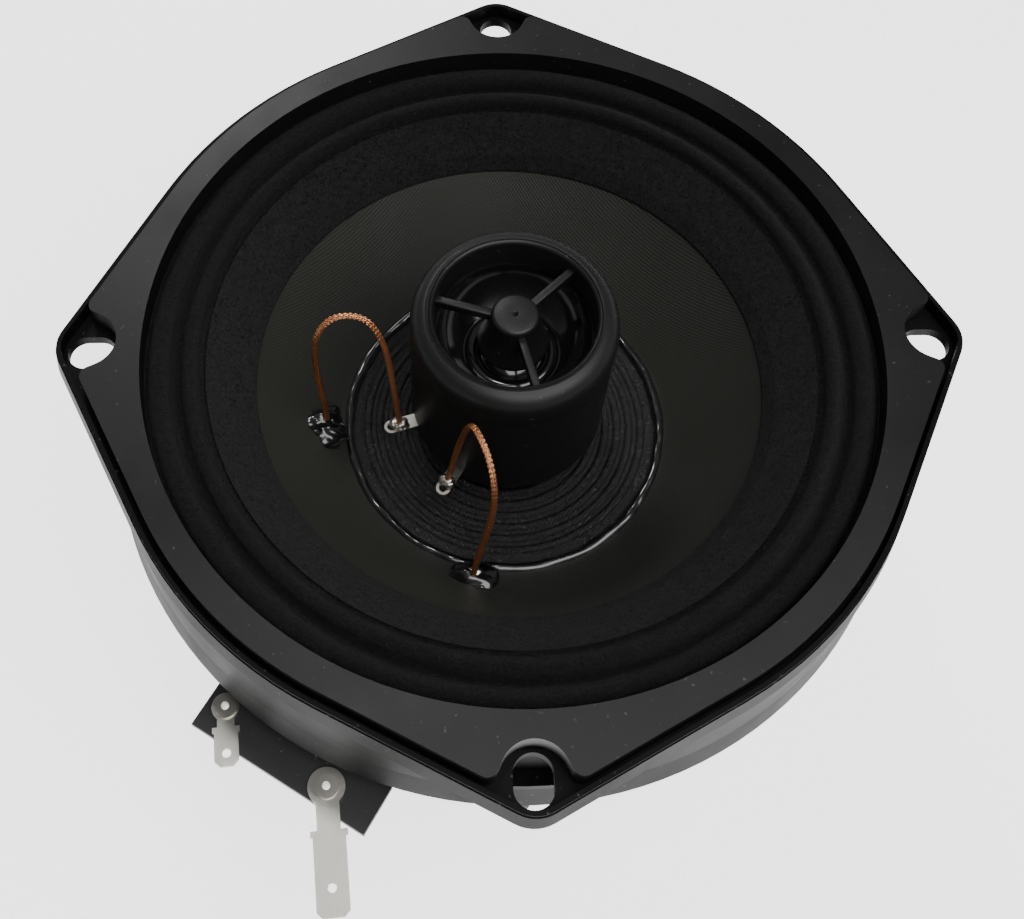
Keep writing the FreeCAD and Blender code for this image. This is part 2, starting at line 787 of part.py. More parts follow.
def make_tweeter_dome():
    """Shallow spherical dome on the tweeter coil's former, as thick everywhere along Z."""
    base = tweeter_former_radius
    radius = (base ** 2 + dome_height ** 2) / (2 * dome_height)
    centre = vector(0, 0, diaphragm_height + dome_height - radius)
    shell = Part.makeSphere(radius, centre).cut(Part.makeSphere(radius, centre - vector(0, 0, dome_wall)))
    return shell.common(tube(base, 0, diaphragm_height - dome_wall, diaphragm_height + dome_height + 1))


def make_tweeter_surround():
    """Half roll from the dome out to the clamped rim."""
    inner = tweeter_former_radius
    level = diaphragm_height
    thin = 0.2
    edges = [arc((inner, level), ((inner + tweeter_roll_outer) / 2, level + 0.9), (tweeter_roll_outer, level))]
    edges += lines([(tweeter_roll_outer, level), (tweeter_clamp_radius, level)])
    return sheet(edges, (inner, level), (tweeter_clamp_radius, level), thin)


def make_tweeter_former():
    bottom = cup_top - 2.6
    return tube(tweeter_former_radius, tweeter_former_radius - tweeter_former_wall, bottom,
                diaphragm_height - dome_wall)


def make_tweeter_winding():
    bottom = cup_top - 2.4
    return tube(tweeter_winding_outer, tweeter_former_radius, bottom, bottom + 2.0)


def make_capacitor():
    """Axial capacitor beside the nut, with its two wires bent down to the floor."""
    height = housing_bottom + housing_floor + capacitor_radius + 0.1
    half = capacitor_length / 2
    can = Part.makeCylinder(capacitor_radius, capacitor_length,
                            vector(capacitor_centre_radius, -half, height), vector(0, 1, 0))
    wires = Part.makeCylinder(0.35, capacitor_length + 3,
                              vector(capacitor_centre_radius - 1, -half - 1.5, height), vector(0, 1, 0))
    return turned_about_z(can.fuse(wires), 45)


# ---- lugs and leads ------------------------------------------------------------------------

def make_lug(angle):
    """Tinned lug from inside the housing out past its wall, with a hole near its tip."""
    bottom = lug_top - lug_thickness
    strip = lug_plate(angle, lug_inner_radius, lug_reach - lug_width / 2, lug_width, bottom, lug_top)
    centre = polar(lug_reach - lug_width / 2, angle, bottom)
    strip = strip.fuse(Part.makeCylinder(lug_width / 2, lug_thickness, centre))
    hole = Part.makeCylinder(lug_hole_radius, lug_thickness + 2, centre - vector(0, 0, 1))
    return strip.cut(hole).removeSplitter()


def lead_path(points):
    """Wire of straight runs joined by tangent arcs; returns the wire and its arc radii."""
    corners = [vector(*point) for point in points]
    edges = []
    radii = []
    place = corners[0]
    for before, corner, after in zip(corners, corners[1:], corners[2:]):
        back = (before - corner)
        ahead = (after - corner)
        cut = 0.45 * min(back.Length, ahead.Length)
        back.normalize()
        ahead.normalize()
        half_turn = (math.pi - back.getAngle(ahead)) / 2
        radii.append(cut / math.tan(half_turn))
        start = corner + back * cut
        end = corner + ahead * cut
        inward = back + ahead
        inward.normalize()
        centre = corner + inward * (radii[-1] / math.cos(half_turn))
        middle = centre - inward * radii[-1]
        edges.append(Part.LineSegment(place, start).toShape())
        edges.append(Part.Arc(start, middle, end).toShape())
        place = end
    edges.append(Part.LineSegment(place, corners[-1]).toShape())
    return Part.Wire(edges), radii


def make_lead(name):
    """One braided lead as a plain tube; prints its length and arc radii."""
    wire, radii = lead_path(lead_routes[name])
    first = wire.Edges[0]
    section = Part.Wire(Part.makeCircle(lead_radius, first.valueAt(first.FirstParameter),
                                        first.tangentAt(first.FirstParameter)))
    shape = wire.makePipeShell([section], True, False)
    expected = math.pi * lead_radius ** 2 * wire.Length
    print("lead", name, "length", round(wire.Length, 1), "mm, volume ratio",
          round(shape.Volume / expected, 4), "radii", [round(radius, 1) for radius in radii])
    return shape


def make_lug_solder(name, angle, lead, lug):
    """Solder round the foot of a lead on its lug."""
    foot = vector(*lead_routes[name][0])
    ball = Part.makeSphere(lug_solder_radius, vector(foot.x, foot.y, lug_top + 0.1))
    below = Part.makeBox(12, 12, 6, vector(foot.x - 6, foot.y - 6, lug_top - 6))
    return ball.cut(below).cut(lead).cut(lug)


# ---- terminals -----------------------------------------------------------------------------

def make_terminal_board():
    """Flat board on the shelf, hollowed to the drum's curve."""
    bottom = board_top - board_thickness
    blank = box(board_reach, 2 * board_half_length, board_thickness, (0, -board_half_length, bottom))
    board = board_frame(blank).cut(tube(wall_radius(board_top) + board_clearance, 0, bottom - 1, board_top + 1))
    for centre in terminal_rivet_places().values():
        board = board.cut(rivet_hole(centre, terminal_rivet_radius))
    return board


def make_terminal(size):
    """Push-on blade with a round pad, a neck, shoulders, a hole and a chamfered tip."""
    width = size["width"]
    length = size["length"]
    neck = 0.72 * width
    pad = Part.makeCylinder(0.58 * width, blade_thickness)
    stem = box(0.45 * length, neck, blade_thickness, (0, -neck / 2, 0))
    shoulder_start = 0.34 * length
    shoulders = box(1.2, 1.14 * width, blade_thickness, (shoulder_start, -0.57 * width, 0))
    blade = box(length - shoulder_start, width, blade_thickness, (shoulder_start, -width / 2, 0))
    tips = [e for e in blade.Edges if e.BoundBox.XMin > length - 0.01 and e.BoundBox.YLength < 0.01]
    blade = blade.makeChamfer(1.1, tips)
    shape = pad.fuse(stem).fuse(shoulders).fuse(blade)
    shape = shape.cut(Part.makeCylinder(0.85, 4, vector(0.78 * length, 0, -1)))
    shape = shape.cut(Part.makeCylinder(terminal_rivet_radius, 4, vector(0, 0, -1)))
    shape.rotate(origin, up, blade_direction)
    shape.translate(vector(*size["root"], board_top))
    return shape.removeSplitter()


def make_terminal_rivets():
    """One tubular rivet through each blade, the board and the shelf."""
    rivets = []
    for centre in terminal_rivet_places().values():
        top = board_top + blade_thickness
        bottom = board_top - board_thickness - shelf_thickness
        shank = Part.makeCylinder(terminal_rivet_radius, top - bottom, vector(centre.x, centre.y, bottom))
        head = Part.makeCylinder(2.4, 0.7, vector(centre.x, centre.y, top))
        tail = Part.makeCylinder(2.4, 0.5, vector(centre.x, centre.y, bottom - 0.5))
        bore = Part.makeCylinder(0.8, 12, vector(centre.x, centre.y, bottom - 2))
        rivets.append(shank.fuse(head).fuse(tail).cut(bore))
    return group(rivets)


# ---- whole speaker -------------------------------------------------------------------------

def build_nodes():
    """Every node by name."""
    nodes = {"basket": make_basket(), "front_gasket": make_gasket()}
    inner_cone = make_inner_cone()
    outer_cone = make_outer_cone(inner_cone)
    seal = make_dust_seal(inner_cone)
    eyelets = make_cone_eyelets()
    nodes["cone_inner"] = inner_cone
    nodes["cone_outer"] = outer_cone
    nodes["surround"] = make_surround()
    nodes["dust_seal"] = seal
    nodes["seal_bead"] = make_seal_bead(inner_cone, seal)
    nodes["cone_eyelets"] = eyelets
    for name, place, normal in cone_joints():
        nodes["glue_dab_" + name] = make_glue_dab(place, normal, inner_cone, eyelets)
    nodes["voice_coil_former"] = make_voice_coil_former()
    nodes["voice_coil_winding"] = make_voice_coil_winding()
    nodes["spider"] = make_spider()
    nodes["top_plate"] = make_top_plate()
    nodes["magnet"] = make_magnet()
    nodes["yoke"] = make_yoke()
    nodes["frame_rivets"] = make_frame_rivets()
    nodes["post"] = make_post()
    nodes["post_screw"] = make_post_screw()
    nodes["post_nut"] = make_post_nut()
    nodes["tweeter_housing"] = make_housing()
    nodes["tweeter_face"] = make_face()
    nodes["tweeter_waveguide"] = make_waveguide()
    nodes["tweeter_frame"] = make_tweeter_frame()
    nodes["tweeter_cup"] = make_tweeter_cup()
    nodes["tweeter_pole"] = make_tweeter_pole()
    nodes["tweeter_magnet"] = make_tweeter_magnet()
    nodes["tweeter_dome"] = make_tweeter_dome()
    nodes["tweeter_surround"] = make_tweeter_surround()
    nodes["tweeter_former"] = make_tweeter_former()
    nodes["tweeter_winding"] = make_tweeter_winding()
    nodes["tweeter_capacitor"] = make_capacitor()
    for name, angle in zip(lug_names, lug_angles):
        lug = make_lug(angle)
        lead = make_lead(name)
        nodes["lug_" + name] = lug
        nodes["lead_" + name] = lead
        nodes["lug_solder_" + name] = make_lug_solder(name, angle, lead, lug)
    nodes["terminal_board"] = make_terminal_board()
    for name, size in terminals.items():
        nodes["terminal_" + name] = make_terminal(size)
    nodes["terminal_rivets"] = make_terminal_rivets()
    return nodes


os.makedirs("parts", exist_ok=True)
for node_name, node_shape in build_nodes().items():
    valid = node_shape.isValid() and node_shape.Volume > 0
    print(node_name, len(node_shape.Solids), round(node_shape.Volume, 1), "ok" if valid else "INVALID")
    node_shape.exportStep("parts/" + node_name + ".step")
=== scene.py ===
import bpy
import math
import numpy as np
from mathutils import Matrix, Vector


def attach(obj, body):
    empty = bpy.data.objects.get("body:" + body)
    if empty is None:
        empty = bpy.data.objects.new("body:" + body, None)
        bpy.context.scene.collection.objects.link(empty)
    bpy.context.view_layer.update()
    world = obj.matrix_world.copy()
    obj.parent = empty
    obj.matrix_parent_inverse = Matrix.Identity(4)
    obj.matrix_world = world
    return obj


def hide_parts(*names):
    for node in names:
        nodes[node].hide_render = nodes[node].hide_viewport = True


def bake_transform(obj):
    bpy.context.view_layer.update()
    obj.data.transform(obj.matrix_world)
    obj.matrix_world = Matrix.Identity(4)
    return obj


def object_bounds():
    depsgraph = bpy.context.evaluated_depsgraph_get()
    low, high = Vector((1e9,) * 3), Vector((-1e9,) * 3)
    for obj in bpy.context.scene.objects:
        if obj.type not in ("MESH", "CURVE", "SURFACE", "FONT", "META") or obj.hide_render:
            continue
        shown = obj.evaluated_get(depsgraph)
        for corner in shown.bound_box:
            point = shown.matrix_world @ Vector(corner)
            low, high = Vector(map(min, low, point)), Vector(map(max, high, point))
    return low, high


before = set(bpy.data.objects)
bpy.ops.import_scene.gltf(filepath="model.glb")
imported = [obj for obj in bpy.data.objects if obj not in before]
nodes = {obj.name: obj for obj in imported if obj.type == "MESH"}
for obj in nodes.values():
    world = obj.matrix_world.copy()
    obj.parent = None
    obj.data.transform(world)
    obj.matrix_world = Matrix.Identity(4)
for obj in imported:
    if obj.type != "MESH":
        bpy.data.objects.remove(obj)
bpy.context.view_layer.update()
mm = 0.001
print("frame loaded")


# One Math node; each input is a number or a socket.
def mathNode(tree, operation, first, second=0.0):
    node = tree.nodes.new("ShaderNodeMath")
    node.operation = operation
    for socket, value in zip(node.inputs, (first, second)):
        if isinstance(value, (int, float)):
            socket.default_value = value
        else:
            tree.links.new(value, socket)
    return node.outputs[0]


# Blend of two colours by a mask.
def mixColour(tree, factor, first, second):
    node = tree.nodes.new("ShaderNodeMix")
    node.data_type = "RGBA"
    tree.links.new(factor, node.inputs[0])
    for index, value in ((6, first), (7, second)):
        if isinstance(value, tuple):
            node.inputs[index].default_value = (*value, 1.0)
        else:
            tree.links.new(value, node.inputs[index])
    return node.outputs[2]


# Clamped linear map of a value.
def rangeNode(tree, value, fromLow, fromHigh, toLow, toHigh):
    node = tree.nodes.new("ShaderNodeMapRange")
    tree.links.new(value, node.inputs[0])
    for index, number in enumerate((fromLow, fromHigh, toLow, toHigh)):
        node.inputs[index + 1].default_value = number
    return node.outputs[0]


# Value of a noise texture.
def noiseNode(tree, vector, scale, detail=4.0, roughness=0.6, distortion=0.0):
    node = tree.nodes.new("ShaderNodeTexNoise")
    tree.links.new(vector, node.inputs["Vector"])
    node.inputs["Scale"].default_value = scale
    node.inputs["Detail"].default_value = detail
    node.inputs["Roughness"].default_value = roughness
    node.inputs["Distortion"].default_value = distortion
    return node.outputs[0]


# Object coordinates, in metres.
def objectPlace(tree):
    return tree.nodes.new("ShaderNodeTexCoord").outputs["Object"]


# The three parts of a vector.
def splitPlace(tree, vector):
    node = tree.nodes.new("ShaderNodeSeparateXYZ")
    tree.links.new(vector, node.inputs[0])
    return node.outputs


# Empty material with its tree and its shader.
def newMaterial(name):
    material = bpy.data.materials.new(name)
    material.use_nodes = True
    tree = material.node_tree
    return material, tree, tree.nodes["Principled BSDF"]


# Bump from a height, in metres.
def addBump(tree, shader, height, distance, strength=1.0):
    bump = tree.nodes.new("ShaderNodeBump")
    bump.inputs["Distance"].default_value = distance
    bump.inputs["Strength"].default_value = strength
    tree.links.new(height, bump.inputs["Height"])
    tree.links.new(bump.outputs[0], shader.inputs["Normal"])


# Shader group with float outputs; returns the tree and its output node.
def newGroup(name, outputs):
    tree = bpy.data.node_groups.new(name, "ShaderNodeTree")
    for output in outputs:
        tree.interface.new_socket(output, in_out="OUTPUT", socket_type="NodeSocketFloat")
    return tree, tree.nodes.new("NodeGroupOutput")


# Outputs of a group placed in a material.
def useGroup(tree, group):
    node = tree.nodes.new("ShaderNodeGroup")
    node.node_tree = group
    return node.outputs


# Moulded grain, slow blotches and rare dust specks.
def makeGrainGroup():
    tree, out = newGroup("mouldGrain", ("Fine", "Blotch", "Dust"))
    place = objectPlace(tree)
    dust = noiseNode(tree, place, 900.0, 2.0, 0.5)
    tree.links.new(noiseNode(tree, place, 3200.0, 3.0), out.inputs["Fine"])
    tree.links.new(noiseNode(tree, place, 45.0, 3.0), out.inputs["Blotch"])
    tree.links.new(rangeNode(tree, dust, 0.70, 0.76, 0.0, 1.0), out.inputs["Dust"])
    return tree


# Matted short fibres: stretched, twisted noise at two sizes.
def makeFibreGroup():
    tree, out = newGroup("mattedFibres", ("Fibre", "Clump"))
    place = objectPlace(tree)
    first = noiseNode(tree, place, 1500.0, 5.0, 0.75, 1.6)
    second = noiseNode(tree, place, 620.0, 4.0, 0.7, 2.2)
    fineShare = mathNode(tree, "MULTIPLY", first, 0.6)
    blend = mathNode(tree, "ADD", fineShare, mathNode(tree, "MULTIPLY", second, 0.4))
    tree.links.new(rangeNode(tree, blend, 0.44, 0.66, 0.0, 1.0), out.inputs["Fibre"])
    clump = noiseNode(tree, place, 190.0, 3.0, 0.6, 0.8)
    tree.links.new(rangeNode(tree, clump, 0.35, 0.68, 0.0, 1.0), out.inputs["Clump"])
    return tree


# Plain weave seen along the axis: over and under threads on a square grid.
def makeWeaveGroup():
    threadPitch = 0.00068
    tree, out = newGroup("plainWeave", ("Thread",))
    x, y, _ = splitPlace(tree, objectPlace(tree))
    pitch = 2 * math.pi / threadPitch
    warp = mathNode(tree, "SINE", mathNode(tree, "MULTIPLY", x, pitch))
    weft = mathNode(tree, "SINE", mathNode(tree, "MULTIPLY", y, pitch))
    product = mathNode(tree, "MULTIPLY", warp, weft)
    tree.links.new(rangeNode(tree, product, -1.0, 1.0, 0.0, 1.0), out.inputs["Thread"])
    return tree


grainGroup = makeGrainGroup()
fibreGroup = makeFibreGroup()
weaveGroup = makeWeaveGroup()


# Constants on the shader's own sockets.
def setShader(shader, **values):
    for name, value in values.items():
        shader.inputs[name.replace("_", " ")].default_value = value


# Moulded, plated or glossy surface with grain, blotches and some dust.
def plainMaterial(name, colour, roughness, metallic=0.0, coat=0.0, bump=0.00002, spread=0.12, dust=0.0,
                  specular=0.5):
    material, tree, shader = newMaterial(name)
    fine, blotch, specks = useGroup(tree, grainGroup)
    darker = tuple(0.78 * part for part in colour)
    lighter = tuple(min(1.0, 1.2 * part) for part in colour)
    base = mixColour(tree, blotch, darker, lighter)
    if dust:
        base = mixColour(tree, mathNode(tree, "MULTIPLY", specks, dust), base, (0.35, 0.34, 0.32))
    tree.links.new(base, shader.inputs["Base Color"])
    low, high = roughness - spread / 2, roughness + spread / 2
    tree.links.new(rangeNode(tree, blotch, 0.3, 0.7, low, high), shader.inputs["Roughness"])
    setShader(shader, Metallic=metallic, Coat_Weight=coat, Coat_Roughness=0.06, Specular_IOR_Level=specular)
    addBump(tree, shader, fine, bump)
    return material


# Mottled charcoal felt of the cone's outer band.
def feltMaterial():
    material, tree, shader = newMaterial("felt")
    fibre, clump = useGroup(tree, fibreGroup)
    base = mixColour(tree, fibre, (0.002, 0.0021, 0.002), (0.026, 0.0265, 0.0245))
    base = mixColour(tree, mathNode(tree, "MULTIPLY", clump, 0.3), base, (0.01, 0.0103, 0.0098))
    tree.links.new(base, shader.inputs["Base Color"])
    setShader(shader, Roughness=0.92, Sheen_Weight=0.04, Sheen_Roughness=0.5, Specular_IOR_Level=0.15)
    addBump(tree, shader, fibre, 0.00022)
    return material


# Fibrous black cloth of the rolled edge, with a painted highlight on the crests and painted shade left in the grooves.
def clothMaterial():
    material, tree, shader = newMaterial("rollCloth")
    fibre, clump = useGroup(tree, fibreGroup)
    height = splitPlace(tree, objectPlace(tree))[2]
    # Painted highlight and shade: the colour gets lighter with height, so crests look lit and grooves stay dark. Fibre
    # noise breaks up the highlight.
    crest = rangeNode(tree, height, 0.0018, 0.0040, 0.0, 1.0)
    paintedCrestLight = mathNode(tree, "MULTIPLY", crest, rangeNode(tree, fibre, 0.1, 0.9, 0.25, 1.0))
    base = mixColour(tree, paintedCrestLight, (0.001, 0.001, 0.001), (0.013, 0.0133, 0.0122))
    base = mixColour(tree, mathNode(tree, "MULTIPLY", clump, 0.4), base, (0.003, 0.003, 0.0028))
    tree.links.new(base, shader.inputs["Base Color"])
    setShader(shader, Roughness=0.88, Sheen_Weight=0.04, Sheen_Roughness=0.45, Specular_IOR_Level=0.15)
    addBump(tree, shader, fibre, 0.00025)
    return material


# Coated woven cone: satin, with a fine square weave.
def coneMaterial():
    material, tree, shader = newMaterial("wovenCone")
    thread = useGroup(tree, weaveGroup)[0]
    fine, blotch, _ = useGroup(tree, grainGroup)
    base = mixColour(tree, thread, (0.017, 0.0175, 0.0145), (0.034, 0.035, 0.0295))
    tree.links.new(base, shader.inputs["Base Color"])
    tree.links.new(rangeNode(tree, blotch, 0.3, 0.7, 0.36, 0.46), shader.inputs["Roughness"])
    height = mathNode(tree, "ADD", thread, mathNode(tree, "MULTIPLY", fine, 0.5))
    addBump(tree, shader, height, 0.00006)
    return material


# Doped black cloth of the corrugated seal.
def sealMaterial():
    material, tree, shader = newMaterial("dopedCloth")
    thread = useGroup(tree, weaveGroup)[0]
    fibre, _ = useGroup(tree, fibreGroup)
    base = mixColour(tree, fibre, (0.002, 0.002, 0.002), (0.007, 0.007, 0.0067))
    tree.links.new(base, shader.inputs["Base Color"])
    tree.links.new(rangeNode(tree, fibre, 0.0, 1.0, 0.25, 0.5), shader.inputs["Roughness"])
    addBump(tree, shader, mathNode(tree, "ADD", thread, fibre), 0.00012)
    return material


# Wet-looking black glue.
def glueMaterial():
    material, tree, shader = newMaterial("blackGlue")
    place = objectPlace(tree)
    lumps = noiseNode(tree, place, 300.0, 2.0, 0.5, 0.4)
    shader.inputs["Base Color"].default_value = (0.004, 0.004, 0.004, 1.0)
    setShader(shader, Roughness=0.2, Coat_Weight=0.8, Coat_Roughness=0.04)
    addBump(tree, shader, lumps, 0.00012)
    return material


# Bright copper strands with darker gaps between them.
def braidMaterial():
    material, tree, shader = newMaterial("copperBraid")
    fine, blotch, _ = useGroup(tree, grainGroup)
    tree.links.new(mixColour(tree, fine, (0.52, 0.2, 0.085), (0.95, 0.5, 0.26)), shader.inputs["Base Color"])
    tree.links.new(rangeNode(tree, blotch, 0.3, 0.7, 0.28, 0.42), shader.inputs["Roughness"])
    setShader(shader, Metallic=1.0)
    addBump(tree, shader, fine, 0.00003)
    return material


# Yellow-brown resin-dipped cotton weave.
def spiderMaterial():
    material, tree, shader = newMaterial("spiderCloth")
    thread = useGroup(tree, weaveGroup)[0]
    tree.links.new(mixColour(tree, thread, (0.2, 0.13, 0.05), (0.42, 0.3, 0.14)), shader.inputs["Base Color"])
    setShader(shader, Roughness=0.7)
    addBump(tree, shader, thread, 0.0002)
    return material


satin = plainMaterial("satinPlastic", (0.0045, 0.0047, 0.0043), 0.5, bump=0.000015, dust=0.15, specular=0.08)
rimPlastic = plainMaterial("rimPlastic", (0.0075, 0.0079, 0.0072), 0.38, bump=0.00001, dust=0.15,
                           specular=0.3)
barrelPlastic = plainMaterial("barrelPlastic", (0.007, 0.0072, 0.007), 0.42, bump=0.00003, dust=0.15,
                              specular=0.35)
glossPlastic = plainMaterial("glossPlastic", (0.006, 0.006, 0.006), 0.12, coat=0.6, bump=0.000002,
                             spread=0.06)
boardPlastic = plainMaterial("boardLaminate", (0.016, 0.016, 0.017), 0.45, bump=0.00003, dust=0.4)
tin = plainMaterial("tinPlate", (0.5, 0.48, 0.43), 0.3, metallic=1.0, bump=0.00002, spread=0.2)
steel = plainMaterial("zincSteel", (0.52, 0.52, 0.51), 0.32, metallic=1.0, bump=0.00001, spread=0.2)
blackSteel = plainMaterial("blackSteel", (0.03, 0.03, 0.032), 0.34, bump=0.00001, spread=0.15, coat=0.2)
ferrite = plainMaterial("ferrite", (0.05, 0.05, 0.052), 0.55, bump=0.00006, spread=0.2, dust=0.8)
foil = plainMaterial("foil", (0.8, 0.8, 0.8), 0.25, metallic=1.0, bump=0.000005)
enamel = plainMaterial("enamelWire", (0.6, 0.22, 0.09), 0.3, metallic=0.8, coat=0.5)
looseFibre = plainMaterial("looseFibre", (0.045, 0.045, 0.042), 0.85, bump=0.000002, specular=0.1)
felt = feltMaterial()
rollCloth = clothMaterial()
wovenCone = coneMaterial()
dopedCloth = sealMaterial()
blackGlue = glueMaterial()
copperBraid = braidMaterial()
spiderCloth = spiderMaterial()
cadMaterials = {
    "basket": satin, "front_gasket": rimPlastic, "cone_eyelets": tin, "voice_coil_former": foil,
    "voice_coil_winding": enamel, "spider": spiderCloth, "top_plate": blackSteel, "magnet": ferrite,
    "yoke": blackSteel, "frame_rivets": steel, "post": satin, "post_screw": steel, "post_nut": steel,
    "tweeter_housing": barrelPlastic, "tweeter_waveguide": glossPlastic, "tweeter_frame": barrelPlastic,
    "tweeter_cup": steel, "tweeter_pole": steel, "tweeter_magnet": foil, "tweeter_former": foil,
    "tweeter_winding": enamel, "tweeter_capacitor": glossPlastic, "tweeter_surround": glossPlastic,
    "lug_left": tin, "lug_front": tin, "terminal_board": boardPlastic, "terminal_large": tin,
    "terminal_small": tin, "terminal_rivets": tin, "cone_inner": wovenCone, "cone_outer": felt,
}
for name, material in cadMaterials.items():
    for materialSlot in nodes[name].material_slots:
        materialSlot.material = material
print("materials made")


# Smooth grid surface; points has the shape rows x columns x 3, in metres.
def surfaceObject(name, points, material, body, wrapRows=False, wrapColumns=False):
    rows, columns = points.shape[:2]
    index = np.arange(rows * columns).reshape(rows, columns)
    if wrapRows:
        index = np.concatenate([index, index[:1]])
    if wrapColumns:
        index = np.concatenate([index, index[:, :1]], axis=1)
    quads = np.stack([index[:-1, :-1], index[1:, :-1], index[1:, 1:], index[:-1, 1:]], axis=-1)
    mesh = bpy.data.meshes.new(name)
    mesh.from_pydata(points.reshape(-1, 3).tolist(), [], quads.reshape(-1, 4).tolist())
    return finishMesh(name, mesh, material, body)


# Puts a mesh in the scene: one material, smooth faces, riding on its body.
def finishMesh(name, mesh, material, body):
    mesh.materials.append(material)
    mesh.polygons.foreach_set("use_smooth", np.ones(len(mesh.polygons), bool))
    mesh.update()
    obj = bpy.data.objects.new(name, mesh)
    bpy.context.scene.collection.objects.link(obj)
    if body:
        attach(obj, body)
    return obj


# Closed section with rounded corners. Each corner is radius, height and rounding, in mm. A corner is
# replaced by an arc that starts the rounding times tan(half the turn) before it and ends as far after.
def roundedProfile(corners, steps=7):
    places = np.array([corner[:2] for corner in corners], float)
    points = []
    for i, (place, corner) in enumerate(zip(places, corners)):
        back = places[i - 1] - place
        ahead = places[(i + 1) % len(places)] - place
        back /= np.linalg.norm(back)
        ahead /= np.linalg.norm(ahead)
        halfOpen = math.acos(float(np.clip(back @ ahead, -1, 1))) / 2
        cut = corner[2] / math.tan(halfOpen)
        middle = (back + ahead) / np.linalg.norm(back + ahead)
        centre = place + middle * corner[2] / math.sin(halfOpen)
        start, end = place + back * cut - centre, place + ahead * cut - centre
        share = np.linspace(0, 1, steps)[:, None]
        spread = math.acos(float(np.clip(start @ end / max(1e-12, corner[2] ** 2), -1, 1)))
        arc = (np.sin((1 - share) * spread) * start + np.sin(share * spread) * end) / math.sin(spread)
        points.append(centre + arc)
    return np.concatenate(points) * mm


# Grid of a section turned about Z: x = r cos a, y = r sin a, z = height.
def turnedPoints(profile, segments):
    angle = np.linspace(0, 2 * math.pi, segments, endpoint=False)[:, None]
    radius, height = profile[None, :, 0], profile[None, :, 1]
    return np.stack([radius * np.cos(angle), radius * np.sin(angle), height + 0 * angle], axis=-1)


# Turned piece from rounded corners.
def turnedObject(name, corners, material, body, segments=256):
    points = turnedPoints(roundedProfile(corners), segments)
    return surfaceObject(name, points, material, body, True, True)


# Section line in mm through straight ends and arcs; a piece is (middle, end) or (None, end).
def lineOfArcs(start, pieces, steps=14):
    points = [np.array([start], float)]
    place = np.array(start, float)
    for middle, end in pieces:
        end = np.array(end, float)
        if middle is None:
            points.append(place + (end - place) * np.linspace(0, 1, 5)[1:, None])
        else:
            middle = np.array(middle, float)
            a, b = middle - place, end - place
            cross = 2 * (a[0] * b[1] - a[1] * b[0])
            squareA, squareB = a @ a, b @ b
            offset = np.array([b[1] * squareA - a[1] * squareB, a[0] * squareB - b[0] * squareA]) / cross
            centre = place + offset
            first = math.atan2(*(place - centre)[::-1])
            half = math.atan2(*(middle - centre)[::-1])
            last = math.atan2(*(end - centre)[::-1])
            way = 1 if cross < 0 else -1
            sweep = (way * (last - first)) % (2 * math.pi)
            if (way * (half - first)) % (2 * math.pi) > sweep:
                sweep, way = 2 * math.pi - sweep, -way
            angle = first + way * sweep * np.linspace(0, 1, steps)[1:]
            radius = np.linalg.norm(place - centre)
            points.append(centre + radius * np.stack([np.cos(angle), np.sin(angle)], axis=1))
        place = end
    return np.concatenate(points) * mm


# Closed section: the line, and the same line lower down walked back.
def thickLine(line, thickness):
    lower = line[::-1] - np.array([0, thickness * mm])
    return np.concatenate([line, lower])


# Rolled cloth edge
surroundSize = dict(thickness=0.6, segments=512, lump=0.07)
surroundLine = lineOfArcs((79.1, 2.38), [
    (None, (73.5, 2.38)), ((71.2, 4.4), (68.9, 2.4)), ((67.8, 1.45), (66.7, 2.4)),
    ((65.05, 3.9), (63.4, 2.4)),
    ((62.95, 1.45), (62.05, 1.0)), (None, (59.2, -1.5))])
surroundPoints = turnedPoints(thickLine(surroundLine, surroundSize["thickness"]), surroundSize["segments"])
around = np.arctan2(surroundPoints[..., 1], surroundPoints[..., 0])
# Slow waviness: a few sines round the ring, strongest on the free rolls.
free = np.exp(-((np.hypot(surroundPoints[..., 0], surroundPoints[..., 1]) / mm - 68) / 4.5) ** 2)
wave = np.sin(5 * around + 1) + 0.6 * np.sin(11 * around + 2) + 0.4 * np.sin(23 * around)
surroundPoints[..., 2] += surroundSize["lump"] * mm * wave * free
surround = surfaceObject("surround_cloth", surroundPoints, rollCloth, "cone_assembly", True, True)
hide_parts("surround")

# Loose fibres of the cloth: thin three-sided needles, thickest where a roll begins or ends
fuzzSize = dict(count=9000, spread=0.8, shortest=0.5, longest=1.5, width=0.035, lift=0.35)
rng = np.random.default_rng(5)
count = fuzzSize["count"]
fuzzRadius = rng.choice([73.4, 69.4, 66.2, 63.6, 62.4], count) + rng.normal(0, fuzzSize["spread"], count)
fuzzRadius = np.clip(fuzzRadius, 62.2, 75.6)
fuzzAngle = rng.uniform(0, 2 * math.pi, count)
lineOrder = np.argsort(surroundLine[:, 0])
fuzzHeight = np.interp(fuzzRadius * mm, surroundLine[lineOrder, 0], surroundLine[lineOrder, 1])
fuzzReach = fuzzRadius * mm
root = np.stack([fuzzReach * np.cos(fuzzAngle), fuzzReach * np.sin(fuzzAngle), fuzzHeight], axis=1)
way = rng.normal(size=(count, 3)) * np.array([1, 1, fuzzSize["lift"]])
way[:, 2] = np.abs(way[:, 2])
way /= np.linalg.norm(way, axis=1, keepdims=True)
fuzzLength = rng.uniform(fuzzSize["shortest"], fuzzSize["longest"], count)[:, None] * mm
across = np.cross(way, np.array([0.3, 0.5, 0.8]))
across /= np.linalg.norm(across, axis=1, keepdims=True)
third = np.cross(way, across)
needle = [root - 0.05 * mm * way + fuzzSize["width"] * mm * (math.cos(t) * across + math.sin(t) * third)
          for t in (0, 2.094, 4.189)]
fuzzPoints = np.stack(needle + [root + fuzzLength * way], axis=1).reshape(-1, 3)
needleFaces = np.array([(0, 1, 3), (1, 2, 3), (2, 0, 3), (2, 1, 0)])
fuzzFaces = (4 * np.arange(count)[:, None, None] + needleFaces).reshape(-1, 3)
fuzzMesh = bpy.data.meshes.new("surround_fibres")
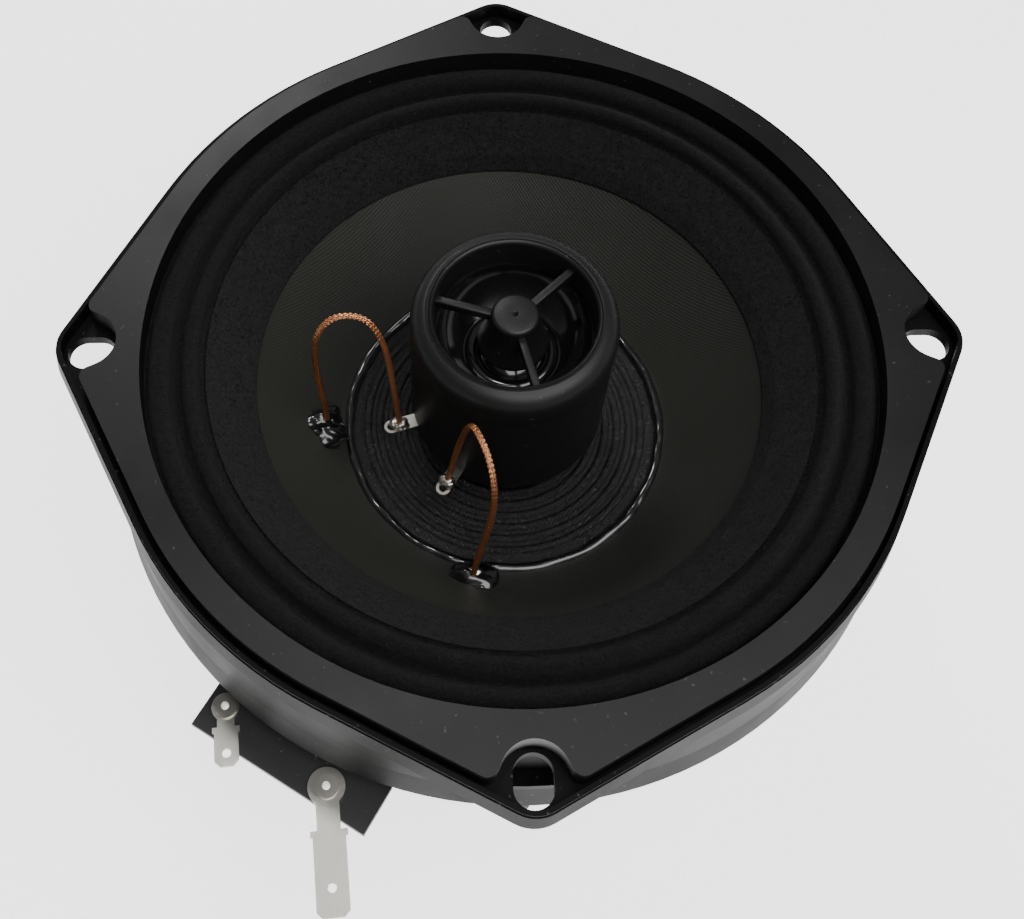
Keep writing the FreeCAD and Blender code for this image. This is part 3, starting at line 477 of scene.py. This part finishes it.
fuzzMesh.from_pydata(fuzzPoints.tolist(), [], fuzzFaces.tolist())
finishMesh("surround_fibres", fuzzMesh, looseFibre, "cone_assembly")

# Corrugated seal
sealSize = dict(inner=8.4, outer=34.7, level=-30.5, thickness=0.5, ridge=0.8, half=0.9)
sealPieces = []
for radius in (17.2, 19.8, 22.4, 25.0, 27.6, 30.2):
    sealPieces.append((None, (radius - sealSize["half"], sealSize["level"])))
    ridgeTop = (radius, sealSize["level"] + sealSize["ridge"])
    sealPieces.append((ridgeTop, (radius + sealSize["half"], sealSize["level"])))
sealPieces.append((None, (sealSize["outer"], sealSize["level"])))
sealLine = lineOfArcs((sealSize["inner"], sealSize["level"]), sealPieces, 9)
seal = surfaceObject("seal_disc", turnedPoints(thickLine(sealLine, sealSize["thickness"]), 360), dopedCloth,
                     "cone_assembly", True, True)
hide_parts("dust_seal")

# Glue bead, uneven round the ring
beadSize = dict(radius=34.3, height=-30.2, section=1.2, uneven=0.16)
angle = np.linspace(0, 2 * math.pi, 512, endpoint=False)[:, None]
turn = np.linspace(0, 2 * math.pi, 24, endpoint=False)[None, :]
swell = beadSize["section"] * (1 + beadSize["uneven"] * (np.sin(7 * angle + 1) + 0.7 * np.sin(17 * angle + 2 * turn)
                                                        + 0.5 * np.sin(41 * angle)) / 2)
beadRadius = beadSize["radius"] + swell * np.cos(turn)
beadPoints = np.stack([beadRadius * np.cos(angle), beadRadius * np.sin(angle),
                       beadSize["height"] + swell * np.sin(turn)], axis=-1) * mm
bead = surfaceObject("seal_bead_glue", beadPoints, blackGlue, "cone_assembly", True, True)
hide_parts("seal_bead")
print("cone pieces made")


faceCorners = [(15.8, 9.55, 0.15), (16.2, 17.1, 1.0), (20.75, 17.1, 3.9), (20.75, 9.55, 0.3)]
faceRing = turnedObject("tweeter_ring", faceCorners, barrelPlastic, "chassis", 256)
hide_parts("tweeter_face")
plugSize = dict(topRadius=4.3, baseRadius=7.2, top=16.3, base=6.1, pin=0.5)
share = np.linspace(0, 1, 24)
# The flank widens from the nose by the share down it to the power 1.5.
flank = np.stack([plugSize["topRadius"] + 0.5 + (plugSize["baseRadius"] - plugSize["topRadius"] - 0.5) * share ** 1.5,
                  plugSize["top"] - 0.8 + (plugSize["base"] - plugSize["top"] + 0.8) * share], axis=1)
nose = np.array([[0.001, 15.3], [plugSize["pin"], 15.3], [plugSize["pin"], 16.28], [0.7, plugSize["top"]],
                 [plugSize["topRadius"] - 0.3, plugSize["top"] - 0.02], [plugSize["topRadius"] + 0.2, 16.1]])
under = np.array([[6.6, 6.2], [4.0, 7.0], [0.001, 7.3]])
plugProfile = np.concatenate([nose, flank, under]) * mm
surfaceObject("phase_plug", turnedPoints(plugProfile, 128), barrelPlastic, "chassis", True, True)


# Bar along the radius with rounded edges; place is its inner end's radius and top height, in mm.
def barObject(name, length, width, depth, place, angle, material, body):
    start, top = place
    corners = np.array([[x, y, z] for x in (start, start + length) for y in (-width / 2, width / 2)
                        for z in (top - depth, top)]) * mm
    turn = math.radians(angle)
    spin = np.array([[math.cos(turn), math.sin(turn), 0], [-math.sin(turn), math.cos(turn), 0], [0, 0, 1]])
    faces = [(0, 1, 3, 2), (4, 6, 7, 5), (0, 4, 5, 1), (2, 3, 7, 6), (0, 2, 6, 4), (1, 5, 7, 3)]
    mesh = bpy.data.meshes.new(name)
    mesh.from_pydata((corners @ spin).tolist(), [], faces)
    obj = finishMesh(name, mesh, material, body)
    bevel = obj.modifiers.new("edges", "BEVEL")
    bevel.width = 0.35 * mm
    bevel.segments = 3
    return obj


for number, spokeAngle in enumerate((43, 163, 283)):
    barObject("spoke_%d" % number, 12.6, 1.7, 2.2, (4.2, 14.75), spokeAngle, barrelPlastic, "chassis")

# Dome: spherical cap of height h on base radius b, sphere radius (b^2 + h^2) / 2h.
domeSize = dict(base=6.65, height=2.2, level=1.7, wall=0.22)
capRadius = (domeSize["base"] ** 2 + domeSize["height"] ** 2) / (2 * domeSize["height"])
capAngle = math.asin(domeSize["base"] / capRadius)
steps = np.linspace(1e-4, capAngle, 24)
capLine = np.stack([capRadius * np.sin(steps), domeSize["level"] + domeSize["height"] - capRadius * (1 - np.cos(steps))],
                   axis=1) * mm
dome = surfaceObject("dome_film", turnedPoints(thickLine(capLine, domeSize["wall"]), 128), glossPlastic,
                     "tweeter_diaphragm", True, True)
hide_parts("tweeter_dome")
print("tweeter pieces made")


# Smooth line of a route: NURBS spline with the points, in mm, as its control points.
def routeLine(points):
    curve = bpy.data.curves.new("route", "CURVE")
    curve.dimensions = "3D"
    curve.resolution_u = 24
    spline = curve.splines.new("NURBS")
    spline.points.add(len(points) - 1)
    for point, place in zip(spline.points, points):
        point.co = (*(mm * part for part in place), 1.0)
    spline.order_u = 3
    spline.use_endpoint_u = True
    holder = bpy.data.objects.new("route", curve)
    mesh = bpy.data.meshes.new_from_object(holder)
    line = np.array([vertex.co for vertex in mesh.vertices])
    bpy.data.objects.remove(holder)
    return line


# Tangent and two cross directions along a line, kept from twisting suddenly.
def frameAlong(line):
    tangent = np.gradient(line, axis=0)
    tangent /= np.linalg.norm(tangent, axis=1, keepdims=True)
    side = np.cross(tangent, np.array([0.3, 0.9, 0.31]))
    side /= np.linalg.norm(side, axis=1, keepdims=True)
    return tangent, side, np.cross(tangent, side)


braidSize = dict(strands=12, radius=0.46, wire=0.16, rise=0.1, pitch=6.0, sides=6)


# Braid of helical strands round a line. Half turn one way and half the other, at
# radius R + rise * sin(crossings), so that they pass over and under each other.
def braidObject(name, line):
    run = np.concatenate([[0], np.cumsum(np.linalg.norm(np.diff(line, axis=0), axis=1))])
    _, side, up = frameAlong(line)
    ring = np.linspace(0, 2 * math.pi, braidSize["sides"], endpoint=False)
    points, faces = [], []
    half = braidSize["strands"] // 2
    offset = 0
    for strand in range(braidSize["strands"]):
        way = 1 if strand < half else -1
        phase = 2 * math.pi * (strand % half) / half
        turn = way * 2 * math.pi * run / (braidSize["pitch"] * mm) + phase
        over = np.sin(turn * half + (0 if way > 0 else math.pi))
        radius = (braidSize["radius"] + braidSize["rise"] * over)[:, None] * mm
        centre = line + radius * (np.cos(turn)[:, None] * side + np.sin(turn)[:, None] * up)
        _, first, second = frameAlong(centre)
        tube = (centre[:, None, :] + braidSize["wire"] * mm
                * (np.cos(ring)[None, :, None] * first[:, None, :] + np.sin(ring)[None, :, None] * second[:, None, :]))
        rows, columns = tube.shape[:2]
        index = offset + np.arange(rows * columns).reshape(rows, columns)
        index = np.concatenate([index, index[:, :1]], axis=1)
        faces.append(np.stack([index[:-1, :-1], index[:-1, 1:], index[1:, 1:], index[1:, :-1]], -1).reshape(-1, 4))
        points.append(tube.reshape(-1, 3))
        offset += rows * columns
    mesh = bpy.data.meshes.new(name)
    mesh.from_pydata(np.concatenate(points).tolist(), [], np.concatenate(faces).tolist())
    return finishMesh(name, mesh, copperBraid, None)


leadRoutes = {
    "left": [(-23.1, -7.1, -16.4), (-23.4, -7.3, -9.5), (-24.2, -5.8, -2.4), (-25.0, -3.7, 4.5),
             (-26.3, -2.1, 11.0), (-29.4, -0.7, 16.9), (-35.6, -0.5, 17.1), (-39.2, -1.7, 11.9),
             (-39.9, -2.6, 4.8), (-39.6, -3.4, -2.6), (-39.0, -3.9, -10.1), (-38.7, -3.6, -16.0),
             (-38.7, -3.4, -21.8)],
    "front": [(-13.2, -20.3, -16.4), (-12.3, -20.0, -9.5), (-11.5, -20.0, -2.5), (-10.5, -20.4, 4.4),
              (-9.6, -21.6, 11.2), (-8.5, -24.5, 16.0), (-6.3, -30.6, 16.6), (-5.1, -34.6, 11.2),
              (-5.2, -36.4, 4.5), (-6.3, -37.9, -2.6), (-7.4, -39.0, -9.8), (-8.0, -39.0, -15.9),
              (-8.2, -38.5, -21.7)],
}


# Uneven ball: each point of a sphere moved out by a sum of sines of its direction.
def lumpObject(name, centre, radii, seed, material, body, lump=0.16, tilt=None):
    rows, columns = 40, 56
    fall = np.linspace(0.002, math.pi - 0.002, rows)[:, None]
    turn = np.linspace(0, 2 * math.pi, columns, endpoint=False)[None, :]
    direction = np.stack([np.sin(fall) * np.cos(turn), np.sin(fall) * np.sin(turn),
                          np.cos(fall) + 0 * turn], axis=-1)
    rng = np.random.default_rng(seed)
    swell = np.ones((rows, columns))
    for size in (1, 2, 3, 5):
        way = rng.normal(size=3) * 1.6 * size
        swell += lump / size * np.sin(direction @ way + rng.uniform(0, 6))
    points = direction * swell[..., None] * np.array(radii)
    if tilt is not None:
        axis = Vector((0, 0, 1)).rotation_difference(Vector(tilt)).to_matrix()
        points = points @ np.array(axis).T
    points = (points + np.array(centre)) * mm
    obj = surfaceObject(name, points, material, body, False, True)
    return obj


# Point at a radius and an angle in degrees.
def polarPlace(radius, angle, height):
    turn = math.radians(angle)
    return (radius * math.cos(turn), radius * math.sin(turn), height)


jointAngles = {"left": -175, "front": -102}
for leadName, route in leadRoutes.items():
    line = routeLine(route)
    lead = braidObject("lead_braid_" + leadName, line)
    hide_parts("lead_" + leadName)
    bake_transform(lead)
    jointAngle = jointAngles[leadName]
    lean = polarPlace(-0.72, jointAngle, 0.69)
    dab = lumpObject("glue_blob_" + leadName, polarPlace(39.6, jointAngle, -25.2), (5.0, 4.7, 3.8), 3 + jointAngle % 7,
                     blackGlue, "cone_assembly", 0.14, lean)
    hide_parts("glue_dab_" + leadName)
    lumpObject("joint_solder_" + leadName, polarPlace(38.9, jointAngle, -22.4), (1.5, 1.3, 1.0), 8 + jointAngle % 5,
               tin, "cone_assembly", 0.2, lean)
    foot = route[0]
    solder = lumpObject("lug_joint_" + leadName, (foot[0], foot[1], -16.7), (1.8, 1.5, 0.9), 12 + jointAngle % 5,
                        tin, "chassis", 0.2)
    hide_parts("lug_solder_" + leadName)
print("leads made")

for name, width in (("basket", 0.25), ("front_gasket", 0.4), ("terminal_board", 0.15), ("terminal_large", 0.12),
                    ("terminal_small", 0.12), ("terminal_rivets", 0.15), ("lug_left", 0.1), ("lug_front", 0.1),
                    ("magnet", 0.5), ("top_plate", 0.3), ("yoke", 0.4), ("tweeter_housing", 0.2)):
    bevel = nodes[name].modifiers.new("edges", "BEVEL")
    bevel.width = width * mm
    bevel.segments = 3
    bevel.limit_method = "ANGLE"
    bevel.angle_limit = math.radians(35)


low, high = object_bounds()
floorMesh = bpy.data.meshes.new("floor")
reach = 3.0
floorMesh.from_pydata([(-reach, -reach, low[2]), (reach, -reach, low[2]), (reach, reach, low[2]),
                       (-reach, reach, low[2])],
                      [], [(0, 1, 2, 3)])
floor = bpy.data.objects.new("floor", floorMesh)
bpy.context.scene.collection.objects.link(floor)
floorMaterial, _, floorShader = newMaterial("floorPaper")
setShader(floorShader, Roughness=0.9)
floorShader.inputs["Base Color"].default_value = (0.8, 0.8, 0.8, 1.0)
floorShader.inputs["Emission Color"].default_value = (1.0, 1.0, 1.0, 1.0)
floorShader.inputs["Emission Strength"].default_value = 2.2
floorMesh.materials.append(floorMaterial)


# Soft area light aimed at the speaker.
def areaLight(name, place, size, power, colour=(1, 1, 1)):
    light = bpy.data.lights.new(name, "AREA")
    light.shape = "RECTANGLE"
    light.size, light.size_y = size
    light.energy = power
    light.color = colour
    obj = bpy.data.objects.new(name, light)
    obj.location = place
    obj.rotation_mode = "QUATERNION"
    obj.rotation_quaternion = Vector(place).to_track_quat("Z", "Y")
    bpy.context.scene.collection.objects.link(obj)
    return obj


areaLight("key", (0.26, -0.3, 0.8), (0.9, 0.7), 9.0)
areaLight("rear", (-0.2, 0.6, 0.6), (0.25, 0.2), 2.0)
areaLight("window", (-0.05, 0.12, 0.7), (0.1, 0.05), 0.5)
world = bpy.data.worlds.new("studio")
world.use_nodes = True
world.node_tree.nodes["Background"].inputs[0].default_value = (0.95, 0.97, 1.0, 1.0)
world.node_tree.nodes["Background"].inputs[1].default_value = 0.22
bpy.context.scene.world = world

cameraData = bpy.data.cameras.new("camera")
cameraData.sensor_width = 36.0
cameraData.lens = 51.08
cameraData.shift_x, cameraData.shift_y = 0.0599, -0.2086
cameraData.clip_start = 0.01
camera = bpy.data.objects.new("camera", cameraData)
camera.location = (-0.02004, -0.14544, 0.25992)
camera.rotation_euler = (math.radians(33.547), math.radians(-1.003), math.radians(-1.211))
bpy.context.scene.collection.objects.link(camera)
bpy.context.scene.camera = camera

print("scene ready")
